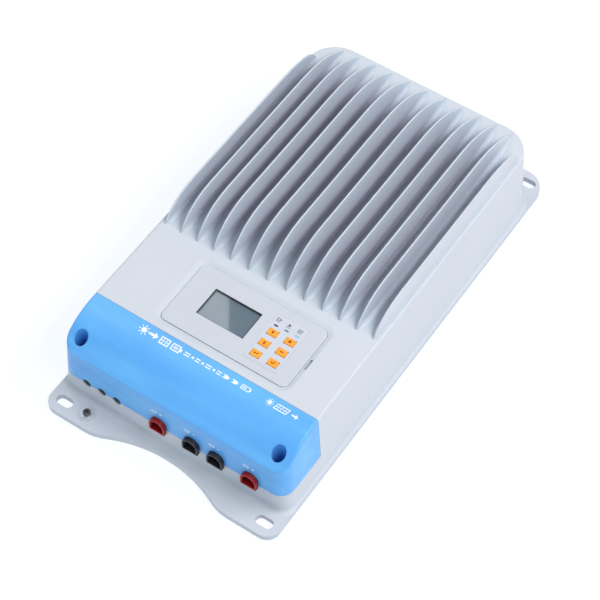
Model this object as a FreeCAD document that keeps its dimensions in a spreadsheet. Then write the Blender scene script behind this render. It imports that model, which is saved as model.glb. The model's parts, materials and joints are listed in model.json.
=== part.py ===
# Wall-mounted solar charge controller: die-cast finned housing, lift-off terminal
# cover, snap-in display panel with six keys, power terminals and electronics.
# Frame: origin at the centre of the footprint on the back face, +Z out of the
# front of the unit (away from the wall), +Y towards the top end, -Y towards the
# cable end.  Millimetres.
import FreeCAD, Part
import os, math
import Sketcher
from FreeCAD import Vector, Placement, Rotation

os.makedirs("parts", exist_ok=True)
doc = FreeCAD.newDocument("charge_controller")
sheet = doc.addObject("Spreadsheet::Sheet", "Dimensions")
sheet.Label = "Dimensions"

# ---------------------------------------------------------------- dimensions
class Q:
    """A number that remembers the sheet expression it came from."""
    def __init__(self, val, expr):
        self.v = float(val); self.e = expr
    def _o(self, o):
        return (o.v, o.e) if isinstance(o, Q) else (float(o), repr(float(o)))
    def __add__(self, o): v, e = self._o(o); return Q(self.v + v, "(%s + %s)" % (self.e, e))
    def __radd__(self, o): v, e = self._o(o); return Q(v + self.v, "(%s + %s)" % (e, self.e))
    def __sub__(self, o): v, e = self._o(o); return Q(self.v - v, "(%s - %s)" % (self.e, e))
    def __rsub__(self, o): v, e = self._o(o); return Q(v - self.v, "(%s - %s)" % (e, self.e))
    def __mul__(self, o): v, e = self._o(o); return Q(self.v * v, "(%s * %s)" % (self.e, e))
    def __rmul__(self, o): v, e = self._o(o); return Q(v * self.v, "(%s * %s)" % (e, self.e))
    def __truediv__(self, o): v, e = self._o(o); return Q(self.v / v, "(%s / %s)" % (self.e, e))
    def __neg__(self): return Q(-self.v, "(0 - %s)" % self.e)

def num(q):
    return q.v if isinstance(q, Q) else float(q)

_row = [0]
D = {}
def cell(alias, value, note=""):
    _row[0] += 1
    r = _row[0]
    sheet.set("A%d" % r, alias)
    sheet.set("B%d" % r, repr(float(value)))
    sheet.set("C%d" % r, note)
    sheet.setAlias("B%d" % r, alias)
    D[alias] = Q(value, "Dimensions." + alias)
    return D[alias]

body_w = cell("body_width", 231.0, "flange width")
body_l = cell("body_length", 440.0, "flange length")
flange_t = cell("flange_thick", 6.0)
cr_front = cell("ear_radius_front", 12.0)
cr_rear = cell("ear_radius_rear", 20.0)
scoop_half = cell("scoop_half_width", 72.0)
scoop_depth = cell("scoop_depth", 16.3)
scoop_r = cell("scoop_radius", 125.0)
slot_x = cell("slot_spacing_x", 202.0, "mounting slot centres across")
slot_y = cell("slot_spacing_y", 416.0, "mounting slot centres along")
slot_w = cell("slot_width", 9.0)
slot_len = cell("slot_length", 16.0)
wall_half = cell("wall_half_width", 113.6, "at the back face")
wall_front = cell("wall_front_edge", -196.0, "at the back face")
wall_rear = cell("wall_rear_edge", 199.8, "at the back face")
draft = cell("wall_draft_deg", 3.0)
pr_front = cell("plan_radius_front", 13.0)
pr_rear = cell("plan_radius_rear", 30.0)
deck_z = cell("deck_height", 82.0)
deck_t = cell("deck_thick", 9.0)
deck_r = cell("deck_edge_radius", 2.0)
lip_z = cell("lip_height", 29.4, "top of the grey wall around the terminal bay")
bay_y = cell("bay_rear", -144.1, "front face of the deck")
cav_half = cell("cavity_half_width", 104.0)
cav_front = cell("cavity_front", -188.5)
cav_rear = cell("cavity_rear", 190.8)
rec_half = cell("plate_recess_half_width", 110.2)
rec_front = cell("plate_recess_front", -194.2)
rec_rear = cell("plate_recess_rear", 196.6)
plate_t = cell("back_plate_thick", 2.0)
fin_draft = cell("fin_draft_deg", 4.0)
fin_root = cell("fin_root_radius", 4.8)
fin_peak = cell("fin_peak_height", 112.0)
fin_round = cell("fin_edge_radius", 0.8)
pcb_z = cell("pcb_underside", 14.0)
pcb_t = cell("pcb_thick", 2.0)
pan_cx = cell("panel_centre_x", 9.5)
pan_cy = cell("panel_centre_y", -102.7)
pan_w = cell("panel_width", 124.2)
pan_l = cell("panel_length", 65.2)
face_cx = cell("panel_face_centre_x", 9.1)
face_cy = cell("panel_face_centre_y", -102.1)
pan_z = cell("panel_face", 81.6)
pan_t = cell("panel_thick", 2.0)
key_w = cell("key_width", 9.2)
key_l = cell("key_length", 6.6)
key_gap = cell("key_gap", 0.18)
key_top = cell("key_face", 82.7)
sl_w = cell("sleeve_width", 15.0)
sl_z0 = cell("sleeve_low", 25.2)
sl_h = cell("sleeve_height", 15.6)
sl_wall = cell("sleeve_wall", 1.3)
cov_wall = cell("cover_wall", 2.4)
cov_gap = cell("cover_gap", 0.3)
well_x = cell("cover_screw_x", 97.0)
well_y = cell("cover_screw_y", -180.7)
well_r = cell("cover_well_radius", 6.0)
doc.recompute()

FRONT = -220.0            # y of the front edge of the flange
# ---------------------------------------------------------------- helpers
nodes = {}

def bind(obj, prop, q):
    if isinstance(q, Q):
        obj.setExpression(prop, q.e)

def place(obj, x=0.0, y=0.0, z=0.0, rot=None):
    obj.Placement = Placement(Vector(num(x), num(y), num(z)), rot or Rotation())
    for ax, q in (("x", x), ("y", y), ("z", z)):
        if isinstance(q, Q):
            obj.setExpression("Placement.Base." + ax, q.e)
    return obj

_n = [0]
def uid(stem):
    _n[0] += 1
    return "%s_%03d" % (stem, _n[0])

def box(x0, x1, y0, y1, z0, z1, name="block"):
    o = doc.addObject("Part::Box", uid(name))
    for prop, a, b in (("Length", x0, x1), ("Width", y0, y1), ("Height", z0, z1)):
        setattr(o, prop, num(b) - num(a))
        if isinstance(a, Q) or isinstance(b, Q):
            bind(o, prop, b - a if isinstance(b, Q) else b - a)
    return place(o, x0, y0, z0)

def cyl(x, y, z0, r, hgt, axis="z", name="round"):
    o = doc.addObject("Part::Cylinder", uid(name))
    o.Radius = num(r); o.Height = num(hgt)
    bind(o, "Radius", r); bind(o, "Height", hgt)
    rot = {"z": None, "x": Rotation(Vector(0, 1, 0), 90), "y": Rotation(Vector(1, 0, 0), -90)}[axis]
    return place(o, x, y, z0, rot)

def cone(x, y, z0, r1, r2, hgt):
    o = doc.addObject("Part::Cone", uid("cone"))
    o.Radius1 = num(r1); o.Radius2 = num(r2); o.Height = num(hgt)
    return place(o, x, y, z0)

def torus(x, y, z, R, r):
    o = doc.addObject("Part::Torus", uid("ring"))
    o.Radius1 = R; o.Radius2 = r
    return place(o, x, y, z)

def fuse(objs, name="joined"):
    if len(objs) == 1:
        return objs[0]
    o = doc.addObject("Part::MultiFuse", uid(name))
    o.Shapes = objs
    o.Refine = True
    return o

def cut(base, tools, name="trimmed"):
    o = doc.addObject("Part::Cut", uid(name))
    o.Base = base
    o.Tool = tools if not isinstance(tools, (list, tuple)) else fuse(list(tools), "tools")
    o.Refine = True
    return o

def common(a, b, name="shared"):
    o = doc.addObject("Part::Common", uid(name))
    o.Base = a; o.Tool = b
    o.Refine = True
    return o

def group(objs, name="set"):
    o = doc.addObject("Part::Compound", uid(name))
    o.Links = objs
    return o

def edges_where(shape, test):
    out = []
    for i, e in enumerate(shape.Edges):
        if test(e):
            out.append(i + 1)
    return out

def fillet(base, test, r, name="rounded", r_of=None, chamfer=False):
    doc.recompute()
    ids = edges_where(base.Shape, test)
    o = doc.addObject("Part::Chamfer" if chamfer else "Part::Fillet", uid(name))
    o.Base = base
    o.Edges = [(i, num(r), num(r)) if r_of is None else (i,) + r_of(base.Shape.Edges[i - 1]) for i in ids]
    doc.recompute()
    if o.Shape.isNull() or not o.Shape.isValid():
        raise RuntimeError("rounding failed on %s (%d edges)" % (base.Name, len(ids)))
    return o

def sketch_on(body, role, name):
    sk = body.newObject("Sketcher::SketchObject", name)
    plane = [f for f in body.Origin.OriginFeatures if f.Role == role][0]
    sk.AttachmentSupport = [(plane, "")]
    sk.MapMode = "FlatFace"
    return sk

def poly_into(sk, pts):
    """Closed polygon, each corner tied to the sketch origin by two driven distances."""
    n = len(pts)
    base = len(sk.Geometry)
    for i in range(n):
        a, b = pts[i], pts[(i + 1) % n]
        sk.addGeometry(Part.LineSegment(Vector(num(a[0]), num(a[1]), 0), Vector(num(b[0]), num(b[1]), 0)), False)
    for i in range(n):
        sk.addConstraint(Sketcher.Constraint("Coincident", base + i, 2, base + (i + 1) % n, 1))
    for i in range(n):
        for kind, q in (("DistanceX", pts[i][0]), ("DistanceY", pts[i][1])):
            k = sk.addConstraint(Sketcher.Constraint(kind, -1, 1, base + i, 1, num(q)))
            if isinstance(q, Q):
                sk.setExpression("Constraints[%d]" % k, q.e)

def circle_into(sk, x, y, r):
    g = sk.addGeometry(Part.Circle(Vector(num(x), num(y), 0), Vector(0, 0, 1), num(r)), False)
    for kind, q in (("DistanceX", x), ("DistanceY", y)):
        k = sk.addConstraint(Sketcher.Constraint(kind, -1, 1, g, 3, num(q)))
        if isinstance(q, Q):
            sk.setExpression("Constraints[%d]" % k, q.e)
    k = sk.addConstraint(Sketcher.Constraint("Radius", g, num(r)))
    if isinstance(r, Q):
        sk.setExpression("Constraints[%d]" % k, r.e)

def rect(x0, x1, y0, y1):
    return [(x0, y0), (x1, y0), (x1, y1), (x0, y1)]

def body(name):
    return doc.addObject("PartDesign::Body", name)

def pad(b, sk, length, name, taper=None, reversed_=False):
    p = b.newObject("PartDesign::Pad", name)
    p.Profile = sk
    p.Length = num(length); bind(p, "Length", length)
    if taper is not None:
        p.TaperAngle = num(taper); bind(p, "TaperAngle", taper)
    p.Reversed = reversed_
    b.Tip = p
    doc.recompute()
    return p

def pocket(b, sk, length, name, reversed_=True, through=False, midplane=False):
    before = b.Shape.Volume
    p = b.newObject("PartDesign::Pocket", name)
    p.Profile = sk
    if through:
        p.Type = "ThroughAll"
        p.Midplane = midplane
    else:
        p.Length = num(length); bind(p, "Length", length)
        p.Reversed = reversed_
    b.Tip = p
    doc.recompute()
    if not b.Shape.Volume < before - 1e-3:
        raise RuntimeError("%s removed nothing" % name)
    return p

def body_fillet(b, feat, test, r, name):
    ids = edges_where(feat.Shape, test)
    f = b.newObject("PartDesign::Fillet", name)
    f.Base = (feat, ["Edge%d" % i for i in ids])
    f.Radius = num(r); bind(f, "Radius", r)
    b.Tip = f
    doc.recompute()
    return f

def mid(e):
    return e.valueAt((e.FirstParameter + e.LastParameter) / 2.0)

def at_z(e, z, tol=1e-3):
    """True for an edge that lies wholly at height z."""
    return abs(mid(e).z - z) < tol and all(abs(v.Point.z - z) < tol for v in e.Vertexes)

def upright(e):
    a, b = e.Vertexes[0].Point, e.Vertexes[-1].Point
    return abs(b.z - a.z) > 0.05 and abs(b.z - a.z) > 3 * math.hypot(b.x - a.x, b.y - a.y)

def plate(name, x0, x1, y0, y1, z0, thick, corner=None, holes=()):
    """A rectangular sheet as a body: padded outline, round corners, drilled holes."""
    b = body(name)
    sk = sketch_on(b, "XY_Plane", name + "_outline")
    poly_into(sk, rect(x0, x1, y0, y1))
    for hx, hy, hr in holes:
        circle_into(sk, hx, hy, hr)
    p = pad(b, sk, thick, name + "_pad")
    if corner is not None:
        cx = {round(num(x0), 3), round(num(x1), 3)}
        cy = {round(num(y0), 3), round(num(y1), 3)}
        body_fillet(b, p, lambda e: upright(e) and round(mid(e).x, 3) in cx and round(mid(e).y, 3) in cy, corner, name + "_corners")
    place(b, 0, 0, z0)
    return b

def keep(obj, name):
    obj.Label = name
    nodes[name] = obj
    return obj

# ---------------------------------------------------------------- housing casting
fl = body("flange_body")
sk = sketch_on(fl, "XY_Plane", "flange_outline")
poly_into(sk, rect(-body_w / 2, body_w / 2, -body_l / 2, body_l / 2))
p = pad(fl, sk, flange_t, "flange_pad")
f1 = body_fillet(fl, p, lambda e: upright(e) and mid(e).y < 0, cr_front, "flange_corners_front")
f2 = body_fillet(fl, f1, lambda e: upright(e) and mid(e).y > 200 and abs(mid(e).x) > 100, cr_rear, "flange_corners_rear")

def scoop(bd, y_edge, sign, half, depth, r1, name):
    """Shallow waist between two ears: one hollow arc and two easing arcs, tangent."""
    th = 2 * math.atan(depth / half)
    r2 = half / math.sin(th) - r1
    s = bd and sketch_on(bd, "XY_Plane", name)
    xi = r1 * math.sin(th)
    def P(x, d):
        return Vector(x, y_edge + sign * d, 0)
    dmid = lambda x: depth - (r1 - math.sqrt(r1 * r1 - x * x))
    xi_d = dmid(xi)
    def dout(x):
        return r2 - math.sqrt(max(0.0, r2 * r2 - (half - x) ** 2))
    geo = [Part.Arc(P(-xi, xi_d), P(0, depth), P(xi, xi_d)),
           Part.Arc(P(xi, xi_d), P((xi + half) / 2, dout((xi + half) / 2)), P(half, 0)),
           Part.LineSegment(P(half, 0), P(half, -12)),
           Part.LineSegment(P(half, -12), P(-half, -12)),
           Part.LineSegment(P(-half, -12), P(-half, 0)),
           Part.Arc(P(-half, 0), P(-(xi + half) / 2, dout((xi + half) / 2)), P(-xi, xi_d))]
    s.addGeometry(geo, False)
    return s

s1 = scoop(fl, -num(body_l) / 2, 1, num(scoop_half), num(scoop_depth), num(scoop_r), "front_waist")
pocket(fl, s1, 0, "front_waist_cut", through=True, midplane=True)
s2 = scoop(fl, num(body_l) / 2, -1, num(scoop_half), 9.0, 200.0, "rear_waist")
pocket(fl, s2, 0, "rear_waist_cut", through=True, midplane=True)

def wall_form(name, inset, height, base_z=None):
    """The drafted outer form of the housing, optionally inset, padded from the back face."""
    b = body(name)
    sk = sketch_on(b, "XY_Plane", name + "_outline")
    poly_into(sk, rect(-wall_half + inset, wall_half - inset, wall_front + inset, wall_rear - inset))
    p = pad(b, sk, height, name + "_pad", taper=-draft)
    fa = body_fillet(b, p, lambda e: upright(e) and mid(e).y < 0, pr_front - inset if isinstance(inset, Q) or inset else pr_front, name + "_front_corners")
    body_fillet(b, fa, lambda e: upright(e) and mid(e).y > 100 and abs(mid(e).x) > 60, pr_rear, name + "_rear_corners")
    return b

shell = wall_form("housing_form", 0.0, deck_z)
doc.recompute()
print("form top width", shell.Shape.BoundBox.XLength, shell.Shape.slice(Vector(0, 0, 1), 81.9)[0].BoundBox.XLength)
shell_r = fillet(shell, lambda e: abs(mid(e).z - num(deck_z)) < 0.01 and e.Length > 1, deck_r, "deck_edge")
flange_and_form = fuse([fl, shell_r], "casting_blank")
# foot of the walls flows into the flange
def foot(e):
    if abs(e.BoundBox.ZMax - 6.0) > 0.01 or abs(e.BoundBox.ZMin - 6.0) > 0.01:
        return False
    m = mid(e)
    return abs(m.x) < 113.3 + 0.2 and -196.5 < m.y < 200.0 and not (m.y < -196.0 + 0.0)
try:
    blank = fillet(flange_and_form, lambda e: foot(e) and abs(mid(e).x) < 114.0 and e.Length > 3 and mid(e).y < -170, 5.0, "foot_flare")
except Exception as err:
    print("foot flare skipped:", err)
    blank = flange_and_form

# display opening: hole, seat for the panel, bevelled border and a slot to lift the panel by
disp_hole = box(pan_cx - 57.2, pan_cx + 57.2, pan_cy - 27.2, pan_cy + 27.2, 60.0, 90.0, "display_hole")
disp_ledge = plate("display_seat_tool", face_cx - pan_w / 2 - 0.3, face_cx + pan_w / 2 + 0.3, face_cy - pan_l / 2 - 0.3, face_cy + pan_l / 2 + 0.3, pan_z - pan_t, 10.0, 6.3)

def rounded_outline(name, x0, x1, y0, y1, r, z):
    k = r * (1 - math.sqrt(0.5))
    P = lambda x, y: Vector(x, y, z)
    e = [Part.LineSegment(P(x0 + r, y0), P(x1 - r, y0)), Part.Arc(P(x1 - r, y0), P(x1 - k, y0 + k), P(x1, y0 + r)),
         Part.LineSegment(P(x1, y0 + r), P(x1, y1 - r)), Part.Arc(P(x1, y1 - r), P(x1 - k, y1 - k), P(x1 - r, y1)),
         Part.LineSegment(P(x1 - r, y1), P(x0 + r, y1)), Part.Arc(P(x0 + r, y1), P(x0 + k, y1 - k), P(x0, y1 - r)),
         Part.LineSegment(P(x0, y1 - r), P(x0, y0 + r)), Part.Arc(P(x0, y0 + r), P(x0 + k, y0 + k), P(x0 + r, y0))]
    o = doc.addObject("Part::Feature", uid(name))
    o.Shape = Part.Wire([x.toShape() for x in e])
    return o

bv = doc.addObject("Part::Loft", uid("display_bevel_tool"))
hx, hy = num(pan_w) / 2 + 0.5, num(pan_l) / 2 + 0.5
pcx, pcy = num(face_cx), num(face_cy)
bv.Sections = [rounded_outline("bevel_low", pcx - hx, pcx + hx, pcy - hy, pcy + hy, 6.5, 80.6),
               rounded_outline("bevel_high", pcx - hx - 6.4, pcx + hx + 4.4, pcy - hy - 4.7, pcy + hy + 4.5, 10.5, 82.3)]
bv.Solid = True
bv.Ruled = True
bv.Closed = False
doc.recompute()
pry = box(72.9, 75.1, -111.0, -100.2, 79.4, 84.0, "pry_slot")
blank = cut(blank, [disp_hole, disp_ledge, bv, pry], "blank_with_display_opening")
doc.recompute()
print("blank", blank.Shape.isValid(), len(blank.Shape.Solids), "bevel", bv.Shape.isValid(), round(bv.Shape.Volume))

# fins: thirteen, tallest in the middle; drafted flanks, round tops and concave roots that
# shrink away towards both ends, where the fin sinks into the deck
FIN_X = [0.0, 18.5, 36.6, 54.1, 71.0, 87.4, 103.6]
FIN_Z = [112.0, 111.7, 110.7, 109.3, 107.3, 104.9, 102.0]
for i in range(1, 7):
    cell("fin_offset_%d_" % i, FIN_X[i])
for i in range(7):
    cell("fin_height_%d_" % i, FIN_Z[i])
doc.recompute()

def bez(p):
    c = Part.BezierCurve(); c.setPoles([Vector(0, a, b) for a, b in p]); return c

def height_on(curve, y):
    lo, hi = curve.FirstParameter, curve.LastParameter
    for _ in range(48):
        m = (lo + hi) / 2
        if curve.value(m).y < y:
            lo = m
        else:
            hi = m
    return curve.value((lo + hi) / 2).z

def fin_section(y, h, top_r, root_l, root_r):
    """One cross-section of a fin: round top, drafted flanks, concave roots meeting the deck."""
    z0 = num(deck_z) - 0.3
    a = math.radians(num(fin_draft)); s, c = math.sin(a), math.cos(a)
    rise = h - z0
    rho = min(top_r, 0.10 + 0.34 * rise)
    zt = h - rho + rho * s
    xt = rho * c

    def side(root):
        r = min(root, 0.10 + 0.42 * rise)
        xc = (r - (z0 + r - zt) * s) / c + xt
        tx, tz = xc - r * c, z0 + r - r * s
        v = (Vector(tx - xc, 0, tz - z0 - r).normalize() + Vector(0, 0, -1)).normalize()
        return xc, tx, tz, xc + v.x * r, z0 + r + v.z * r

    xr, ax, az, mx, mz = side(root_r)
    xl, bx_, bz_, nx, nz = side(root_l)
    low = num(deck_z) - 4.0
    P = lambda x, z: Vector(x, y, z)
    edges = [Part.LineSegment(P(-xl, low), P(xr, low)), Part.LineSegment(P(xr, low), P(xr, z0)),
             Part.Arc(P(xr, z0), P(mx, mz), P(ax, az)), Part.LineSegment(P(ax, az), P(xt, zt)),
             Part.Arc(P(xt, zt), P(0, h), P(-xt, zt)), Part.LineSegment(P(-xt, zt), P(-bx_, bz_)),
             Part.Arc(P(-bx_, bz_), P(-nx, nz), P(-xl, z0)), Part.LineSegment(P(-xl, z0), P(-xl, low))]
    return Part.Wire([e.toShape() for e in edges])

fin_objs = []
for i in range(7):
    hgt = FIN_Z[i]
    dz = 112.0 - hgt
    f_end = 212.0 - 0.6 * dz
    front = [(163.4, 82.2), (170.3, 81.5 + 0.50 * (hgt - 81.5)), (186.0 - 0.6 * dz, hgt - 0.6), (f_end, hgt)]
    if i == 6:
        rear = [(332.0, hgt), (366.0, hgt + 0.2), (384.5, 97.5), (390.2, 82.2)]
    else:
        sh = -2.0 if i == 5 else 0.0
        rear = [(338.0 + 1.2 * dz + sh, hgt), (368.0 + 0.3 * dz + sh, hgt), (387.4 + sh, 105.0 - 0.55 * dz), (412.8 + sh, 82.2)]
    fr = bez([(a + FRONT, b) for a, b in front]); re_ = bez([(a + FRONT, b) for a, b in rear])
    lf, lr = f_end - front[0][0], rear[-1][0] - rear[0][0]
    stations = [(front[0][0] + lf * q, fr) for q in (0.0, 0.014, 0.035, 0.07, 0.12, 0.19, 0.28, 0.40, 0.55, 0.75)]
    stations += [(f_end, None), (rear[0][0], None)]
    stations += [(rear[0][0] + lr * q, re_) for q in (0.16, 0.30, 0.43, 0.55, 0.66, 0.76, 0.85, 0.92, 0.965, 1.0)]
    secs = []
    for st, curve in stations:
        hh = hgt if curve is None else height_on(curve, st + FRONT)
        w = doc.addObject("Part::Feature", uid("fin_section"))
        w.Shape = fin_section(st + FRONT, hh, num(fin_round), num(fin_root), 1.1 if i == 6 else num(fin_root))
        secs.append(w)
    fin = doc.addObject("Part::Loft", uid("fin"))
    fin.Sections = secs
    fin.Solid = True
    fin.Ruled = True
    fin.Closed = False
    doc.recompute()
    if i == 0:
        fin_objs.append(place(fin, 0, 0, 0))
    else:
        c = doc.addObject("Part::Compound", uid("fin_right")); c.Links = [fin]
        place(c, D["fin_offset_%d_" % i], 0, 0)
        mi = doc.addObject("Part::Mirroring", uid("fin_left"))
        mi.Source = c; mi.Normal = Vector(1, 0, 0); mi.Base = Vector(0, 0, 0)
        fin_objs += [c, mi]
doc.recompute()
for o in fin_objs:
    if o.Shape.isNull() or not o.Shape.isValid():
        print("bad fin", o.Name)

# bosses, rib and cuts
PCB_POSTS = [(x, y) for x in (-92.0, 92.0) for y in (-128.0, -8.0, 160.0)]
casting = fuse([blank] + fin_objs, "casting")
doc.recompute()
print("casting", casting.Shape.isValid(), len(casting.Shape.Solids), round(casting.Shape.Volume / 1000, 1), "cm3")

def drafted_pocket_tool(name, x0, x1, y0, y1, z0, z1, corner_f, corner_r):
    b = body(name)
    sk = sketch_on(b, "XY_Plane", name + "_outline")
    poly_into(sk, rect(x0, x1, y0, y1))
    p = pad(b, sk, z1 - z0, name + "_pad")
    fa = body_fillet(b, p, lambda e: upright(e) and mid(e).y < 0, corner_f, name + "_cf")
    body_fillet(b, fa, lambda e: upright(e) and mid(e).y > 0 and abs(mid(e).x) > 50 and e.Curve.TypeId == "Part::GeomLine" and mid(e).y > 150, corner_r, name + "_cr")
    place(b, 0, 0, z0)
    return b

cavity = drafted_pocket_tool("cavity_tool", -cav_half, cav_half, cav_front, cav_rear, -1.0, deck_z - deck_t, 6.0, 22.0)
rabbet = drafted_pocket_tool("rabbet_tool", -cav_half - 1.8, cav_half + 1.8, cav_front - 1.8, cav_rear + 1.8, -1.0, plate_t + 1.0, 7.8, 23.8)
recess = drafted_pocket_tool("recess_tool", -rec_half, rec_half, rec_front, rec_rear, -1.0, plate_t, 9.0, 26.0)
bay_cut = box(-130.0, 130.0, -230.0, bay_y, lip_z, 120.0, "bay_cut")
slots = []
for sx in (-1, 1):
    for sy in (-1, 1):
        cx, cy = slot_x * (sx / 2.0), slot_y * (sy / 2.0)
        half = (slot_len - slot_w) / 2
        slots += [box(cx - half, cx + half, cy - slot_w / 2, cy + slot_w / 2, -1.0, 10.0, "slot"),
                  cyl(cx - half, cy, -1.0, slot_w / 2, 11.0), cyl(cx + half, cy, -1.0, slot_w / 2, 11.0)]
SLEEVE_X = [-12.0, 21.0, 45.1, 78.3]
SLEEVE_N = ["pv_positive_sleeve", "pv_negative_sleeve", "battery_negative_sleeve", "battery_positive_sleeve"]
for i, sx in enumerate(SLEEVE_X):
    cell("sleeve_offset_%d_" % i, sx)
PORT_X = [-85.6, -70.1, -55.0]

def tomb(cx, grow, y0, y1, z0=None, top_grow=None, name="arch"):
    """Arch-topped block: straight sides, half-round top, running along Y."""
    half = sl_w / 2 + grow
    zt = sl_z0 + sl_h - sl_w / 2
    zb = (sl_z0 - grow) if z0 is None else z0
    a = box(cx - half, cx + half, y0, y1, zb, zt, name)
    b = cyl(cx, y0, zt, half, y1 - y0, "y", name)
    return fuse([a, b], name)

lip_notches = [tomb(D["sleeve_offset_%d_" % i], 0.0, -200.0, -187.0) for i in range(4)]
port_notches = [cyl(px, -200.0, lip_z + 0.3, 4.1, 13.0, "y") for px in PORT_X]
posts = [cyl(x, y, pcb_z + pcb_t, 5.0, deck_z - deck_t - pcb_z - pcb_t + 1.0) for x, y in PCB_POSTS]
cov_bosses = [fuse([cyl(well_x * s, well_y, 3.0, 8.2, lip_z - 3.0), box(well_x * s - (8.2 if s < 0 else 0), well_x * s + (8.2 if s > 0 else 0), well_y - 8.0, well_y + 8.2, 3.0, lip_z)]) for s in (-1, 1)]
rib = box(-86.0, 86.0, 8.0, 18.0, 24.0, 74.0, "clamp_rib")
gnd_boss = cyl(-78.2, -207.6, 5.0, 7.1, 1.6)
cas1 = cut(casting, [cavity, rabbet, recess, bay_cut], "hollow")
doc.recompute()
print("hollow", cas1.Shape.isValid(), len(cas1.Shape.Solids))
# bosses live inside the outer form
inner_bits = common(fuse(posts + cov_bosses + [rib], "inner_bosses"), shell, "trimmed_bosses")
cas2 = fuse([cas1, inner_bits, gnd_boss], "with_bosses")
holes = []
for x, y in PCB_POSTS:
    holes.append(cyl(x, y, 10.0, 1.5, 16.0))
for s in (-1, 1):
    holes.append(cyl(well_x * s, well_y, 8.0, 2.3, 30.0))
holes.append(cyl(-78.2, -207.6, -1.0, 2.0, 12.0))
PLATE_SCREWS = [(sx * 107.5, y) for sx in (-1, 1) for y in (-150.0, -60.0, 40.0, 135.0)] + [(-50.0, 194.1), (50.0, 194.1), (-50.0, -191.7), (50.0, -191.7)]
for x, y in PLATE_SCREWS:
    holes.append(cyl(x, y, -1.0, 1.25, 10.0))
for x in (-60.0, 0.0, 60.0):
    holes.append(cyl(x, 0.0, 36.0, 1.5, 14.0, "y"))
housing = cut(cas2, slots + lip_notches + port_notches + holes, "housing")
doc.recompute()
print("housing", housing.Shape.isValid(), len(housing.Shape.Solids), round(housing.Shape.Volume / 1000, 1), "cm3", housing.Shape.BoundBox)
keep(housing, "heatsink_housing")

# ---------------------------------------------------------------- terminal cover
cov_form = wall_form("cover_form", 0.0, 90.0)
cov_in = wall_form("cover_inner_form", cov_wall, 90.0)
place(cov_in, 0, 0, 0)

def cover_profile(drop, name, y_back, z_low):
    pts = [(18.0, 53.0), (27.2, 61.6), (37.0, 69.3), (45.0, 75.2), (53.0, 78.9), (62.0, 81.2), (70.0, 82.0)]
    c = Part.BSplineCurve()
    c.interpolate([Vector(0, a + FRONT, b - drop) for a, b in pts])
    end = Vector(0, y_back, pts[-1][1] - drop)
    a0 = Vector(0, pts[0][0] + FRONT, pts[0][1] - drop)
    w = Part.Wire([c.toShape(), Part.LineSegment(Vector(0, pts[-1][0] + FRONT, pts[-1][1] - drop), end).toShape(),
                   Part.LineSegment(end, Vector(0, y_back, z_low)).toShape(),
                   Part.LineSegment(Vector(0, y_back, z_low), Vector(0, pts[0][0] + FRONT, z_low)).toShape(),
                   Part.LineSegment(Vector(0, pts[0][0] + FRONT, z_low), a0).toShape()])
    f = doc.addObject("Part::Feature", uid(name + "_profile"))
    f.Shape = Part.Face(w)
    e = doc.addObject("Part::Extrusion", uid(name + "_slab"))
    e.Base = f; e.DirMode = "Custom"; e.Dir = Vector(1, 0, 0); e.LengthFwd = 260.0; e.Symmetric = True; e.Solid = True
    return e

cov_back = num(bay_y) - 0.3
cov_low = num(lip_z) + 0.3
outer = common(cov_form, cover_profile(0.0, "cover_outer", cov_back, cov_low), "cover_outer")
doc.recompute()
def cover_top_edges(e):
    m = mid(e)
    if m.z < 55 or m.y > cov_back - 1 or e.BoundBox.YMax - e.BoundBox.YMin < 0.2 and e.Length < 50:
        return False
    side = abs(m.x) > 95
    front = m.y < -190
    return (side or front) and not upright(e)
outer_r = fillet(outer, cover_top_edges, 2.2, "cover_rounded")
inner = common(cov_in, cover_profile(num(cov_wall), "cover_inner", cov_back + 2.0, cov_low - 2.0), "cover_inner")
bosses = [cyl(well_x * s, well_y, 30.0, 7.6, 60.0) for s in (-1, 1)]
boss_in = common(fuse(bosses, "cover_bosses"), outer_r, "cover_boss_trim")
lintel = box(-20.0, 86.0, -198.0, -190.5, cov_low, 44.0, "sleeve_band")
band_in = common(lintel, outer_r, "sleeve_band_trim")
cov = fuse([cut(outer_r, inner, "cover_shell"), boss_in], "cover_body")
wells = [cyl(well_x * s, well_y, 38.0, well_r, 60.0) for s in (-1, 1)]
shanks = [cyl(well_x * s, well_y, 20.0, 2.05, 30.0) for s in (-1, 1)]
cnotch = [tomb(D["sleeve_offset_%d_" % i], 0.3, -202.0, -186.0, z0=20.0) for i in range(4)]
pnotch = [cyl(px, -202.0, lip_z + 0.3, 4.1, 16.0, "y") for px in PORT_X]
cover = cut(cov, wells + shanks + cnotch + pnotch, "cover")
doc.recompute()
print("cover", cover.Shape.isValid(), len(cover.Shape.Solids), round(cover.Shape.Volume / 1000, 1))
keep(cover, "terminal_cover")

def pan_screw(x, y, z_head, head_r, head_h, r, shank, up=True, drive=0.0):
    """Round-head screw; the shank points down when up is True."""
    if up:
        parts = [cyl(x, y, z_head, head_r, head_h), cyl(x, y, z_head - shank, r, shank + 0.2)]
        c = fuse(parts, "screw")
        if drive:
            arms = [box(x - drive, x + drive, y - drive * 0.28, y + drive * 0.28, z_head + head_h - 1.4, z_head + head_h + 1),
                    box(x - drive * 0.28, x + drive * 0.28, y - drive, y + drive, z_head + head_h - 1.4, z_head + head_h + 1)]
            c = cut(c, arms, "screw")
        return c
    return fuse([cyl(x, y, z_head, head_r, head_h), cyl(x, y, z_head + head_h - 0.2, r, shank + 0.2)], "screw")

keep(group([pan_screw(97.0 * s, num(well_y), 38.0, 3.6, 2.6, 2.0, 20.0, drive=2.0) for s in (-1, 1)]), "terminal_cover_screws")

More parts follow.
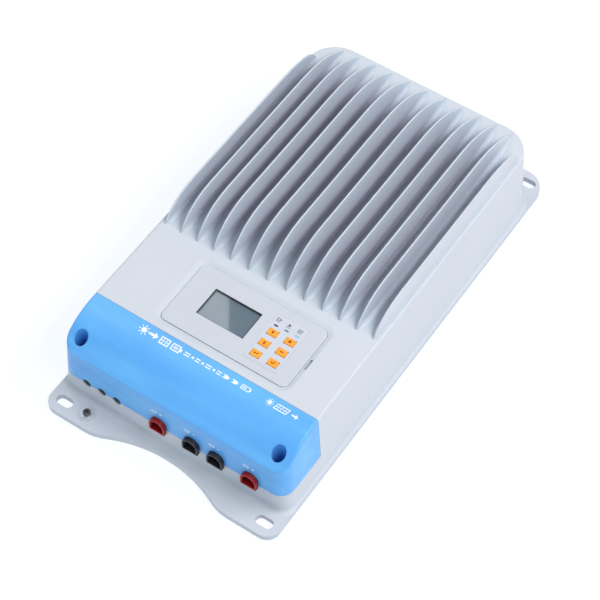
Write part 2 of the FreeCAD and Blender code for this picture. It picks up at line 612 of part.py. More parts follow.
# ---------------------------------------------------------------- cable sleeves
for i, nm in enumerate(SLEEVE_N):
    cx = D["sleeve_offset_%d_" % i]
    outer_s = tomb(cx, 0.0, -198.0, -184.0)
    collar = tomb(cx, 1.8, -187.0, -185.0)
    bore_s = tomb(cx, -sl_wall, -199.0, -183.0)
    s = cut(fuse([outer_s, collar], "sleeve"), bore_s, "sleeve")
    keep(s, nm)

# ---------------------------------------------------------------- membranes in the three small cable ports
mem = []
for px in PORT_X:
    d = cyl(px, -193.4, num(lip_z) + 0.3, 4.0, 1.0, "y", "membrane")
    zc = num(lip_z) + 0.3
    mem.append(cut(d, [box(px - 0.15, px + 0.15, -194.0, -192.0, zc - 2.6, zc + 2.6), box(px - 2.6, px + 2.6, -194.0, -192.0, zc - 0.15, zc + 0.15)], "membrane"))
keep(group(mem), "port_membranes")

# ---------------------------------------------------------------- ground terminal
keep(cut(cyl(-78.2, -207.6, 6.6, 5.6, 0.9), cyl(-78.2, -207.6, 6.0, 2.1, 4.0), "washer"), "ground_washer")
keep(pan_screw(-78.2, -207.6, 7.5, 3.3, 1.9, 2.0, 6.5, drive=2.3), "ground_screw")

# ---------------------------------------------------------------- back plate, gasket, screws
rec_c = 9.0
bp = body("back_plate_body")
skp = sketch_on(bp, "XY_Plane", "back_plate_outline")
poly_into(skp, rect(-rec_half + 0.3, rec_half - 0.3, rec_front + 0.3, rec_rear - 0.3))
for x, y in PLATE_SCREWS:
    circle_into(skp, x, y, 1.6)
pp = pad(bp, skp, plate_t, "back_plate_pad")
g1 = body_fillet(bp, pp, lambda e: upright(e) and e.Curve.TypeId == "Part::GeomLine" and mid(e).y < -193 and abs(mid(e).x) > 109, 8.7, "back_plate_front_corners")
body_fillet(bp, g1, lambda e: upright(e) and e.Curve.TypeId == "Part::GeomLine" and mid(e).y > 195 and abs(mid(e).x) > 109, 25.7, "back_plate_rear_corners")
keep(cut(bp, [cone(x, y, -0.01, 2.35, 1.6, 1.11) for x, y in PLATE_SCREWS], "countersunk"), "back_plate")
keep(group([fuse([cone(x, y, 0.0, 2.3, 1.25, 1.1), cyl(x, y, 1.0, 1.25, 7.0)], "screw") for x, y in PLATE_SCREWS]), "back_plate_screws")
gout = drafted_pocket_tool("gasket_outer", -cav_half - 1.7, cav_half + 1.7, cav_front - 1.7, cav_rear + 1.7, plate_t, plate_t + 1.0, 7.7, 23.7)
gin = drafted_pocket_tool("gasket_inner", -cav_half + 0.1, cav_half - 0.1, cav_front + 0.1, cav_rear - 0.1, plate_t - 0.5, plate_t + 2.0, 5.9, 21.9)
keep(cut(gout, gin, "gasket"), "back_plate_gasket")

# ---------------------------------------------------------------- display panel
KEYS = [("key_left_rear", 33.3, 123.6), ("key_left_middle", 33.3, 111.7), ("key_left_front", 33.3, 99.6),
        ("key_right_rear", 49.9, 123.8), ("key_right_middle", 49.9, 111.9), ("key_right_front", 49.9, 99.7)]
LEDS = [(31.4, 131.0), (41.4, 131.4), (51.4, 131.4)]
px0, px1 = face_cx - pan_w / 2, face_cx + pan_w / 2
py0, py1 = face_cy - pan_l / 2, face_cy + pan_l / 2
face = plate("panel_face_plate", px0, px1, py0, py1, pan_z - pan_t, pan_t, 6.0)
skirt = cut(plate("panel_skirt_outer", pan_cx - 56.9, pan_cx + 56.9, pan_cy - 26.9, pan_cy + 26.9, 66.0, 13.8, 3.0),
            box(pan_cx - 55.1, pan_cx + 55.1, pan_cy - 25.1, pan_cy + 25.1, 65.0, 79.6), "skirt")
SCR = [(-41.6, 96.2), (-41.6, 138.4), (62.0, 96.2), (62.0, 138.4)]
pbosses = [cyl(x, y + FRONT, 70.5, 2.8, 9.4) for x, y in SCR]
bez0 = fuse([face, skirt] + pbosses, "panel_blank")
LCDX0, LCDX1, LCDY0, LCDY1 = -30.0, 16.3, 105.4 + FRONT, 134.0 + FRONT
pan_cuts = [box(LCDX0, LCDX1, LCDY0, LCDY1, 78.0, 84.0)]
for nm, kx, ky in KEYS:
    pan_cuts.append(box(kx - key_w / 2 - key_gap, kx + key_w / 2 + key_gap, ky + FRONT - key_l / 2 - key_gap, ky + FRONT + key_l / 2 + key_gap, 78.0, 84.0))
for lx, ly in LEDS:
    pan_cuts.append(box(lx - 2.1, lx + 2.1, ly + FRONT - 0.9, ly + FRONT + 0.9, 78.0, 84.0))
for x, y in SCR:
    pan_cuts.append(cyl(x, y + FRONT, 70.0, 1.0, 7.5))
bez1 = cut(bez0, pan_cuts, "panel")
bez = fillet(bez1, lambda e: at_z(e, 81.6) and (abs(mid(e).x - 9.5) > 57.0 or abs(mid(e).y + 102.7) > 28.5), 0.8, "panel_rounded")
keep(bez, "display_bezel")
gk = cut(box(LCDX0, LCDX1, LCDY0, LCDY1, 77.7, 81.2), box(LCDX0 + 0.5, LCDX1 - 0.5, LCDY0 + 0.5, LCDY1 - 0.5, 77.0, 82.0), "lcd_surround")
keep(gk, "lcd_surround")
keep(plate("window_sheet", LCDX0 + 0.5, LCDX1 - 0.5, LCDY0 + 0.5, LCDY1 - 0.5, 79.4, 1.2), "display_window")
lcd_frame = fillet(box(LCDX0 - 2.0, LCDX1 + 2.0, LCDY0 - 3.0, LCDY1 + 3.0, 70.5, 77.7), upright, 1.0, "lcd_frame")
keep(fuse([lcd_frame, box(LCDX0 + 0.5, LCDX1 - 0.5, LCDY0 + 0.5, LCDY1 - 0.5, 77.0, 79.2, "lcd_glass")], "lcd"), "lcd_module")
film0 = plate("film_sheet", 24.6, 59.0, 92.6 + FRONT, 143.4 + FRONT, pan_z, 0.3, 3.0)
film_cuts = []
for nm, kx, ky in KEYS:
    film_cuts.append(box(kx - key_w / 2 - key_gap, kx + key_w / 2 + key_gap, ky + FRONT - key_l / 2 - key_gap, ky + FRONT + key_l / 2 + key_gap, 81.0, 84.0))
for lx, ly in LEDS:
    film_cuts.append(box(lx - 2.1, lx + 2.1, ly + FRONT - 0.9, ly + FRONT + 0.9, 81.0, 84.0))
keep(cut(film0, film_cuts, "film"), "keypad_overlay")
key_objs = []
for nm, kx, ky in KEYS:
    kb = body(nm + "_body")
    ks = sketch_on(kb, "XY_Plane", nm + "_outline")
    kyp = ky + FRONT
    poly_into(ks, rect(kx - key_w / 2, kx + key_w / 2, kyp - key_l / 2, kyp + key_l / 2))
    kp = pad(kb, ks, key_top - 78.6, nm + "_pad")
    kf = body_fillet(kb, kp, upright, 1.3, nm + "_corners")
    kf2 = body_fillet(kb, kf, lambda e: at_z(e, 82.7 - 78.6), 0.7, nm + "_crown")
    place(kb, 0, 0, 78.6)
    kfl = box(kx - num(key_w) / 2 - 0.9, kx + num(key_w) / 2 + 0.9, kyp - num(key_l) / 2 - 0.9, kyp + num(key_l) / 2 + 0.9, 78.5, 79.25)
    keep(fuse([kb, kfl], "key"), nm)
sw, pl, dm = [], [], []
for nm, kx, ky in KEYS:
    kyp = ky + FRONT
    sw.append(fuse([fillet(box(kx - 3.0, kx + 3.0, kyp - 3.0, kyp + 3.0, 70.5, 74.0), upright, 0.5), cyl(kx, kyp, 73.9, 1.7, 3.6)], "switch"))
    dm.append(cut(cone(kx, kyp, 74.0, 3.3, 2.6, 3.7), cone(kx, kyp, 73.9, 2.5, 2.0, 4.0), "dome"))
keep(group(sw), "key_switches")
keep(group(dm), "key_return_domes")
keep(group([fillet(box(lx - 2.1, lx + 2.1, ly + FRONT - 0.9, ly + FRONT + 0.9, 71.5, 81.7), upright, 0.3) for lx, ly in LEDS]), "led_light_pipes")
keep(group([box(lx - 1.6, lx + 1.6, ly + FRONT - 0.8, ly + FRONT + 0.8, 70.5, 71.5) for lx, ly in LEDS]), "indicator_leds")
keep(plate("display_board", pan_cx - 54.4, pan_cx + 54.4, pan_cy - 24.4, pan_cy + 24.4, 68.9, 1.6, 1.5, [(x, y + FRONT, 1.3) for x, y in SCR]), "display_pcb")
keep(group([fuse([cyl(x, y + FRONT, 67.4, 2.3, 1.5), cyl(x, y + FRONT, 68.8, 1.0, 7.6)], "screw") for x, y in SCR]), "display_screws")

# ---------------------------------------------------------------- main board
mb = body("main_board_body")
skm = sketch_on(mb, "XY_Plane", "main_board_outline")
bx = 101.0
poly_into(skm, [(-bx, -168.0), (-86.0, -168.0), (-86.0, -184.0), (86.0, -184.0), (86.0, -168.0), (bx, -168.0), (bx, 164.0), (78.0, 187.0), (-78.0, 187.0), (-bx, 164.0)])
for x, y in PCB_POSTS:
    circle_into(skm, x, y, 1.7)
pad(mb, skm, pcb_t, "main_board_pad")
place(mb, 0, 0, pcb_z)
keep(mb, "main_pcb")
top = num(pcb_z) + num(pcb_t)
keep(group([fuse([cyl(x, y, 11.6, 3.0, 2.4), cyl(x, y, 13.8, 1.5, 10.2)], "screw") for x, y in PCB_POSTS]), "main_pcb_screws")

# power terminals: four single-pole modules, wires come in from the cable end, screws from above
TBH, TBY0, TBY1, TBZ = 8.2, -179.0, -150.0, 53.0
cages, clamps, poles = [], [], []
for i, sx in enumerate(SLEEVE_X):
    pole = fillet(box(sx - TBH, sx + TBH, TBY0, TBY1, top, TBZ), lambda e: upright(e) or at_z(e, TBZ), 1.0, "pole")
    poles.append(cut(pole, [box(sx - 6.5, sx + 6.5, TBY0 - 1, TBY0 + 22.0, 25.0, 41.0), cyl(sx, -167.0, 40.0, 5.0, 20.0)], "terminal_pole"))
    cage = cut(box(sx - 6.4, sx + 6.4, TBY0 + 3.0, TBY0 + 21.0, 25.1, 40.9), box(sx - 4.9, sx + 4.9, TBY0 + 2.0, TBY0 + 22.0, 26.6, 37.9), "cage")
    cage = cut(cage, cyl(sx, -167.0, 37.0, 2.9, 8.0), "cage")
    cages.append(cage)
    scr = fuse([cyl(sx, -167.0, 37.0, 2.9, 5.0), cyl(sx, -167.0, 41.9, 4.4, 6.0)], "clamp_screw")
    clamps.append(cut(scr, [box(sx - 5.0, sx + 5.0, -167.7, -166.3, 46.2, 50.0)], "clamp_screw"))
keep(group(poles), "power_terminal_block")
keep(group(cages), "terminal_cages")
keep(group(clamps), "terminal_clamp_screws")

# partition between the terminal bay and the electronics
part_w = box(-103.5, 103.5, -142.0, -140.4, top + 0.2, 72.8)
keep(part_w, "bay_partition")

# signal connectors behind the three small cable ports
jk = cut(box(PORT_X[1] - 7.2, PORT_X[1] + 7.2, -176.0, -160.0, top, top + 13.0), [box(PORT_X[1] - 5.8, PORT_X[1] + 5.8, -177.0, -164.0, top + 2.0, top + 9.0), box(PORT_X[1] - 3.0, PORT_X[1] + 3.0, -177.0, -164.0, top + 8.0, top + 11.4)], "jack")
keep(jk, "communication_port")
st = []
for px in (PORT_X[0] + 0.6, PORT_X[2]):
    c = cut(box(px - 5.2, px + 5.2, -174.0, -164.0, top, top + 11.0), [box(px - 4.2, px - 0.6, -175.0, -169.0, top + 3.0, top + 7.0), box(px + 0.6, px + 4.2, -175.0, -169.0, top + 3.0, top + 7.0), cyl(px - 2.4, -168.0, top + 8.0, 1.6, 5.0), cyl(px + 2.4, -168.0, top + 8.0, 1.6, 5.0)], "sensor_terminal")
    st.append(c)
keep(group(st), "sensor_terminals")

# power stage
cores, winds = [], []
for ix in (-60.0, 0.0, 60.0):
    cy_ = 62.0
    w = fillet(cut(cyl(ix, cy_, top + 0.6, 28.0, 26.0), cyl(ix, cy_, top, 9.5, 40.0), "coil"), lambda e: e.Length > 10 and (at_z(e, top + 0.6) or at_z(e, top + 26.6)), 3.0)
    core = cut(cyl(ix, cy_, top + 3.4, 25.2, 20.4), cyl(ix, cy_, top, 12.4, 40.0), "core")
    winds.append(cut(w, core, "coil"))
    cores.append(core)
keep(group(cores), "inductor_cores")
keep(group(winds), "inductor_windings")
caps = []
for j, cyy in enumerate((-118.0, -88.0, -58.0)):
    for cx_ in (-66.0, -34.0, 34.0, 66.0):
        hgt = 42.0 if j == 2 else 40.0
        caps.append(fillet(cyl(cx_, cyy, top, 11.0, hgt), lambda e: e.Length > 60 and at_z(e, top + hgt), 1.2))
keep(group(caps), "bulk_capacitors")
fets = []
for k in range(8):
    fx = -73.5 + 21.0 * k
    fets.append(fuse([box(fx - 5.0, fx + 5.0, 1.9, 6.4, 26.0, 41.5), box(fx - 5.0, fx + 5.0, 6.2, 7.5, 26.0, 46.0)] + [box(fx + d - 0.45, fx + d + 0.45, 4.0, 4.8, top, 26.2) for d in (-2.54, 0.0, 2.54)], "transistor"))
keep(group(fets), "power_transistors")
keep(box(-84.0, 84.0, 7.5, 8.0, 25.0, 48.0), "thermal_pad")
keep(cut(box(-82.0, 82.0, 0.4, 1.9, 30.0, 39.0), [cyl(x, -1.0, 36.0, 1.6, 4.0, "y") for x in (-60.0, 0.0, 60.0)], "clamp_bar"), "transistor_clamp_bar")
ts = []
for x in (-60.0, 0.0, 60.0):
    ts.append(fuse([cyl(x, -1.8, 36.0, 2.8, 2.2, "y"), cyl(x, 0.2, 36.0, 1.5, 13.3, "y")], "screw"))
keep(group(ts), "clamp_bar_screws")
# the pad has to clear the three clamp screws
tp = cut(nodes["thermal_pad"], [cyl(x, 6.0, 36.0, 1.6, 4.0, "y") for x in (-60.0, 0.0, 60.0)], "thermal_pad")
nodes["thermal_pad"].Label = "thermal_pad_blank"
keep(tp, "thermal_pad")
chips = [fillet(box(-10.0 + dx - 7, -10.0 + dx + 7, 120.0 - 7, 120.0 + 7, top, top + 1.6), upright, 0.4) for dx in (0.0, 40.0)] + [fillet(box(-58.0, -48.0, 112.0, 130.0, top, top + 2.4), upright, 0.4)]
keep(group(chips), "control_chips")
sh = cut(box(-10.0, 26.0, -142.0 + 8.0, -126.0, top, top + 12.0), box(-4.0, 20.0, -135.0, -125.0, top - 1.0, top + 9.5), "shunt")
keep(sh, "current_shunt")
fz = [fuse([fillet(box(fx, fx + 20.0, 140.0, 152.0, top, top + 18.0), upright, 0.8), box(fx + 2.0, fx + 18.0, 143.0, 149.0, top + 17.8, top + 22.0)], "fuse") for fx in (40.0, 66.0)]
keep(group(fz), "board_fuses")
rb = [fillet(box(-84.0, -56.0, 142.0, 155.0, top, top + 16.0), upright, 0.8), fillet(box(-50.0, -22.0, 142.0, 155.0, top, top + 16.0), upright, 0.8)]
keep(group(rb), "relays")

# ribbon from the display board down to the main board
RX, RY0, RY1 = -8.0, -112.0, -100.0
keep(group([box(RX - 4.0, RX + 4.0, RY0 - 1.5, RY1 + 1.5, 64.4, 68.9), box(RX - 4.0, RX + 4.0, RY0 - 1.5, RY1 + 1.5, top, top + 5.0)]), "ribbon_connectors")
rib_b = body("ribbon_body")
skr = sketch_on(rib_b, "XZ_Plane", "ribbon_path")
rp = [(RX - 0.4, 64.4), (RX - 0.4, 56.0), (RX - 7.4, 48.0), (RX - 7.4, 34.0), (RX - 0.4, 27.0), (RX - 0.4, top + 5.0),
      (RX + 0.4, top + 5.0), (RX + 0.4, 27.4), (RX - 6.6, 34.4), (RX - 6.6, 47.6), (RX + 0.4, 55.6), (RX + 0.4, 64.4)]
poly_into(skr, rp)
prb = pad(rib_b, skr, 10.0, "ribbon_pad")
doc.recompute()
bb = rib_b.Shape.BoundBox
place(rib_b, 0, -111.0 - bb.YMin, 0)
keep(rib_b, "display_ribbon")

# ---------------------------------------------------------------- checks and export
doc.recompute()
bad = []
for o in doc.Objects:
    if any(s in ("Invalid", "Error") for s in o.State):
        bad.append((o.Name, o.State))
if bad:
    raise RuntimeError("failed objects: %s" % bad[:10])
labels = set()
for name, o in nodes.items():
    if o.Label != name or name in labels:
        raise RuntimeError("label clash on " + name + " / " + o.Label)
    labels.add(name)
    shp = o.Shape
    if shp.isNull() or not shp.isValid() or not shp.Solids:
        raise RuntimeError("bad shape on " + name)
for f in os.listdir("parts"):
    if f.endswith(".step") and f[:-5] not in nodes:
        os.remove(os.path.join("parts", f))
for name, o in nodes.items():
    o.Shape.exportStep("parts/%s.step" % name)
print("%d nodes written, %d document objects" % (len(nodes), len(doc.Objects)))
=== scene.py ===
import json
import math

import bmesh
import bpy
from mathutils import Matrix, Vector
from mathutils.bvhtree import BVHTree
from mathutils.geometry import delaunay_2d_cdt


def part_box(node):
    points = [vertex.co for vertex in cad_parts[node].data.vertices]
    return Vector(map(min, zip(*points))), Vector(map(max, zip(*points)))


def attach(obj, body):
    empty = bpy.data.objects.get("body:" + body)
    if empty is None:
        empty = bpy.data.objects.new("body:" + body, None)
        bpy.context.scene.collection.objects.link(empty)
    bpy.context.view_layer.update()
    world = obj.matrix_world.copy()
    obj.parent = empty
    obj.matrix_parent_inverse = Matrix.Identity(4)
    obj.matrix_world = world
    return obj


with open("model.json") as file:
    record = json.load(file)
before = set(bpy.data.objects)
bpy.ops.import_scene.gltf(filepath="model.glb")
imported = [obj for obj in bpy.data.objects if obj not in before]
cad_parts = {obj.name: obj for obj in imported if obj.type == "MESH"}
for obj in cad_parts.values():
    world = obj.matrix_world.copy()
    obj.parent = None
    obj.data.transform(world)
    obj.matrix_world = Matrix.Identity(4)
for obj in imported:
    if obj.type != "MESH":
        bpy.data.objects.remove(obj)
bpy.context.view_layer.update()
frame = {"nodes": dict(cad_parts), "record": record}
N = frame["nodes"]
scene = bpy.context.scene
scene.view_settings.view_transform = "Standard"


# ------------------------------------------------------------------ material helpers
def lin(c):
    """Display colour to scene-linear."""
    return tuple((x / 12.92 if x <= 0.04045 else ((x + 0.055) / 1.055) ** 2.4) for x in c) + (1.0,)


class M:
    """A procedural material, with its pattern in the frame's own metres."""

    def __init__(self, name, rough=0.5, metal=0.0, spec=0.5, coat=0.0, coat_rough=0.1, sheen=0.0, sss=0.0):
        self.m = bpy.data.materials.new(name)
        self.m.use_nodes = True
        self.t = self.m.node_tree
        self.b = self.t.nodes["Principled BSDF"]
        i = self.b.inputs
        i["Roughness"].default_value = rough
        i["Metallic"].default_value = metal
        i["Specular IOR Level"].default_value = spec
        if coat:
            i["Coat Weight"].default_value = coat
            i["Coat Roughness"].default_value = coat_rough
        if sheen:
            i["Sheen Weight"].default_value = sheen
        if sss:
            i["Subsurface Weight"].default_value = sss
            i["Subsurface Scale"].default_value = 0.002
            i["Subsurface Radius"].default_value = (1.0, 0.5, 0.2)
        self.co = self.n("ShaderNodeTexCoord").outputs["Object"]
        self.last = None

    def n(self, kind, **kw):
        x = self.t.nodes.new(kind)
        for k, v in kw.items():
            setattr(x, k, v)
        return x

    def link(self, a, b):
        self.t.links.new(a, b)

    def mapping(self, scale=(1, 1, 1), rot=(0, 0, 0), loc=(0, 0, 0)):
        x = self.n("ShaderNodeMapping")
        x.inputs["Scale"].default_value = scale
        x.inputs["Rotation"].default_value = rot
        x.inputs["Location"].default_value = loc
        self.link(self.co, x.inputs["Vector"])
        return x.outputs["Vector"]

    def noise(self, scale, detail=2.0, rough=0.5, vec=None, dist=0.0):
        x = self.n("ShaderNodeTexNoise")
        x.inputs["Scale"].default_value = scale
        x.inputs["Detail"].default_value = detail
        x.inputs["Roughness"].default_value = rough
        x.inputs["Distortion"].default_value = dist
        self.link(vec or self.co, x.inputs["Vector"])
        return x.outputs["Fac"]

    def voronoi(self, scale, feature="F1", out="Distance", vec=None, rnd=1.0):
        x = self.n("ShaderNodeTexVoronoi", feature=feature)
        x.inputs["Scale"].default_value = scale
        x.inputs["Randomness"].default_value = rnd
        self.link(vec or self.co, x.inputs["Vector"])
        return x.outputs[out]

    def math(self, op, a, b=None, c=None, clamp=False):
        x = self.n("ShaderNodeMath", operation=op, use_clamp=clamp)
        for k, v in enumerate((a, b, c)):
            if v is None:
                continue
            if isinstance(v, (int, float)):
                x.inputs[k].default_value = v
            else:
                self.link(v, x.inputs[k])
        return x.outputs[0]

    def ramp(self, fac, stops, interp="LINEAR"):
        x = self.n("ShaderNodeValToRGB")
        x.color_ramp.interpolation = interp
        e = x.color_ramp.elements
        while len(e) < len(stops):
            e.new(0.5)
        for k, (p, c) in enumerate(stops):
            e[k].position = p
            e[k].color = c if len(c) == 4 else tuple(c) + (1.0,)
        self.link(fac, x.inputs["Fac"])
        return x.outputs["Color"]

    def range(self, fac, a, b, c, d):
        x = self.n("ShaderNodeMapRange")
        for k, v in enumerate((a, b, c, d)):
            x.inputs[k + 1].default_value = v
        self.link(fac, x.inputs[0])
        return x.outputs[0]

    def mix(self, fac, a, b, blend="MIX"):
        x = self.n("ShaderNodeMix", data_type="RGBA", blend_type=blend)
        if isinstance(fac, (int, float)):
            x.inputs[0].default_value = fac
        else:
            self.link(fac, x.inputs[0])
        for k, v in ((6, a), (7, b)):
            if isinstance(v, tuple):
                x.inputs[k].default_value = v
            else:
                self.link(v, x.inputs[k])
        return x.outputs[2]

    def color(self, out):
        self.link(out, self.b.inputs["Base Color"])
        return self

    def rough(self, fac, lo, hi, a=0.3, b=0.7):
        self.link(self.range(fac, a, b, lo, hi), self.b.inputs["Roughness"])
        return self

    def bump(self, height, dist, strength=1.0):
        x = self.n("ShaderNodeBump")
        x.inputs["Distance"].default_value = dist
        x.inputs["Strength"].default_value = strength
        self.link(height, x.inputs["Height"])
        if self.last is not None:
            self.link(self.last, x.inputs["Normal"])
        self.last = x.outputs["Normal"]
        self.link(self.last, self.b.inputs["Normal"])
        return self

    def crevice(self, dist, lo=0.0, hi=1.0):
        """Ambient-occlusion mask for painted shade: 0 in a corner or narrow opening, 1 in the open."""
        x = self.n("ShaderNodeAmbientOcclusion")
        x.samples = 4
        x.inputs["Distance"].default_value = dist
        return self.range(x.outputs["AO"], lo, hi, 0.0, 1.0)

    def axis(self, k):
        x = self.n("ShaderNodeSeparateXYZ")
        self.link(self.co, x.inputs[0])
        return x.outputs[k]


def shade(c, f):
    return tuple(min(1.0, x * f) for x in c[:3]) + (1.0,)


def moulded(name, c, rough=(0.36, 0.46), vary=0.03, grain=2600.0, depth=0.000012, **kw):
    """Injection-moulded plastic: faint flow clouding, fine spark-eroded grain, slightly uneven gloss."""
    m = M(name, **kw)
    cloud = m.noise(22.0, 3.0, 0.5, dist=0.4)
    fleck = m.noise(1900.0, 2.0, 0.6)
    col = m.mix(m.range(cloud, 0.3, 0.7, 0.0, 1.0), shade(c, 1 - vary), shade(c, 1 + vary))
    col = m.mix(m.range(fleck, 0.35, 0.65, 0.0, 0.10), col, shade(c, 0.82))
    m.color(col).rough(m.noise(160.0, 3.0), rough[0], rough[1])
    m.bump(m.noise(grain, 2.0, 0.55), depth, 0.6)
    m.bump(m.noise(120.0, 2.0), 0.00006, 0.18)
    return m


def metal(name, c, rough=(0.25, 0.42), brush=(900.0, 60.0, 900.0), tint=None, depth=0.000006, **kw):
    m = M(name, metal=1.0, **kw)
    v = m.mapping(scale=brush)
    s = m.noise(1.0, 3.0, 0.6, vec=v)
    t = m.noise(140.0, 3.0, 0.6)
    col = m.mix(m.range(s, 0.3, 0.7, 0.0, 1.0), shade(c, 0.88), shade(c, 1.06))
    col = m.mix(m.range(t, 0.45, 0.75, 0.0, 0.5), col, tint or shade(c, 0.8))
    m.color(col).rough(t, rough[0], rough[1])
    m.bump(s, depth, 0.5)
    return m


# ------------------------------------------------------------------ finishes
GREY = lin((0.785, 0.806, 0.842))
BLUE = lin((0.350, 0.668, 0.948))


def make_casting():
    m = M("powder_coat_grey", spec=0.45)
    cloud = m.noise(9.0, 3.0, 0.5)
    fine = m.noise(2400.0, 2.0, 0.6)
    peel = m.noise(620.0, 2.0, 0.45)
    col = m.mix(m.range(cloud, 0.3, 0.7, 0.0, 1.0), shade(GREY, 0.975), shade(GREY, 1.02))
    col = m.mix(m.range(fine, 0.52, 0.72, 0.0, 0.30), col, lin((0.70, 0.725, 0.78)))
    # painted shade from ambient occlusion: purple-brown in deep corners and fin valleys, a cool blue tint in half-open
    # corners
    painted_shade = m.ramp(m.crevice(0.030), [(0.08, (0.70, 0.56, 0.60)), (0.24, (0.76, 0.76, 0.82)), (0.42, (0.84, 0.965, 1.0)), (0.85, (1.0, 1.0, 1.0))])
    col = m.mix(1.0, col, painted_shade, "MULTIPLY")
    m.color(col).rough(m.noise(240.0, 3.0), 0.40, 0.52)
    m.bump(peel, 0.00005, 0.35)
    m.bump(fine, 0.000014, 0.55)
    return m.m


def make_cover():
    m = M("moulded_blue", spec=0.5)
    cloud = m.noise(14.0, 3.0, 0.5, dist=0.5)
    flow = m.noise(1.0, 3.0, 0.5, vec=m.mapping(scale=(9.0, 70.0, 70.0)))
    fine = m.noise(3000.0, 2.0, 0.55)
    col = m.mix(m.range(cloud, 0.3, 0.7, 0.0, 1.0), shade(BLUE, 0.96), shade(BLUE, 1.03))
    col = m.mix(m.range(flow, 0.42, 0.72, 0.0, 0.55), col, lin((0.43, 0.765, 0.98)))
    col = m.mix(m.range(fine, 0.5, 0.75, 0.0, 0.18), col, lin((0.25, 0.58, 0.90)))
    # painted shade: deeper blue in corners and screw wells, from ambient occlusion
    painted_shade = m.crevice(0.009)
    painted_shade_amount = m.math("MULTIPLY", m.math("SUBTRACT", 1.0, painted_shade, clamp=True), 0.62)
    col = m.mix(painted_shade_amount, col, lin((0.05, 0.26, 0.72)))
    m.color(col).rough(m.noise(260.0, 3.0), 0.30, 0.40)
    m.bump(m.noise(800.0, 2.0, 0.5), 0.00003, 0.25)
    m.bump(fine, 0.00001, 0.5)
    return m.m


def make_rubber(name, c, hi, reach=0.004, lo=0.0, top=1.0):
    m = M(name, spec=0.4, sheen=0.05)
    fine = m.noise(1500.0, 3.0, 0.6)
    cloud = m.noise(90.0, 3.0)
    # painted shade: the colour falls towards 12% of the base in corners and hollows found by ambient occlusion
    painted_shade = m.crevice(reach, lo, top)
    col = m.mix(m.range(cloud, 0.3, 0.7, 0.0, 1.0), shade(c, 0.8), shade(c, 1.15))
    col = m.mix(painted_shade, shade(c, 0.12), m.mix(0.45, col, hi))
    m.color(col).rough(fine, 0.42, 0.62)
    m.bump(fine, 0.00002, 0.5)
    m.bump(m.noise(300.0, 2.0), 0.00005, 0.2)
    return m.m


def make_galvanised():
    m = M("galvanised_sheet", metal=1.0)
    v = m.voronoi(95.0, out="Color")
    g = m.math("MULTIPLY", v, 1.0)
    fine = m.noise(700.0, 3.0)
    col = m.ramp(g, [(0.0, lin((0.60, 0.615, 0.63))), (0.5, lin((0.70, 0.71, 0.72))), (1.0, lin((0.79, 0.80, 0.81)))])
    col = m.mix(m.range(m.noise(12.0, 4.0, 0.6), 0.5, 0.8, 0.0, 0.4), col, lin((0.52, 0.54, 0.56)))
    m.color(col)
    m.link(m.range(g, 0.0, 1.0, 0.30, 0.52), m.b.inputs["Roughness"])
    m.bump(fine, 0.00001, 0.4)
    return m.m


def make_board():
    m = M("solder_mask", spec=0.5, coat=0.4, coat_rough=0.15)
    c = lin((0.05, 0.30, 0.16))
    tr = lin((0.09, 0.42, 0.22))
    w1 = m.n("ShaderNodeTexBrick")
    w1.inputs["Scale"].default_value = 90.0
    w1.inputs["Mortar Size"].default_value = 0.02
    w1.inputs["Color1"].default_value = (0, 0, 0, 1)
    w1.inputs["Color2"].default_value = (0.15, 0.15, 0.15, 1)
    w1.inputs["Mortar"].default_value = (1, 1, 1, 1)
    m.link(m.co, w1.inputs["Vector"])
    pads = m.voronoi(210.0, rnd=0.25)
    isl = m.range(m.noise(46.0, 2.0), 0.47, 0.50, 0.0, 1.0)
    trace = m.math("MULTIPLY", w1.outputs["Color"], isl, clamp=True)
    col = m.mix(trace, c, tr)
    hole = m.math("LESS_THAN", pads, 0.16)
    hole = m.math("MULTIPLY", hole, m.math("GREATER_THAN", m.noise(70.0, 1.0), 0.56))
    col = m.mix(hole, col, lin((0.72, 0.71, 0.66)))
    col = m.mix(m.range(m.noise(1500.0, 2.0), 0.4, 0.7, 0.0, 0.2), col, shade(c, 0.7))
    m.color(col).rough(m.noise(300.0, 2.0), 0.22, 0.36)
    m.bump(trace, 0.00006, 0.5)
    m.bump(m.noise(500.0, 2.0), 0.00001, 0.4)
    return m.m


def make_lcd():
    """Reflective liquid crystal behind its polariser: fine cell grid, slightly uneven grey-blue."""
    m = M("lcd_cell", spec=0.5, coat=0.3, coat_rough=0.12)
    a = lin((0.455, 0.520, 0.575))
    b = lin((0.485, 0.555, 0.610))
    col = m.mix(m.range(m.noise(30.0, 2.0), 0.3, 0.7, 0.0, 1.0), a, b)
    x = m.math("FRACT", m.math("MULTIPLY", m.axis(0), 2600.0))
    y = m.math("FRACT", m.math("MULTIPLY", m.axis(1), 2600.0))
    g = m.math("MAXIMUM", m.math("LESS_THAN", x, 0.12), m.math("LESS_THAN", y, 0.12))
    col = m.mix(m.math("MULTIPLY", g, 0.16), col, lin((0.34, 0.42, 0.48)))
    m.color(col).rough(m.noise(700.0, 2.0), 0.26, 0.36)
    m.bump(m.noise(2500.0, 1.0), 0.000004, 0.4)
    return m.m


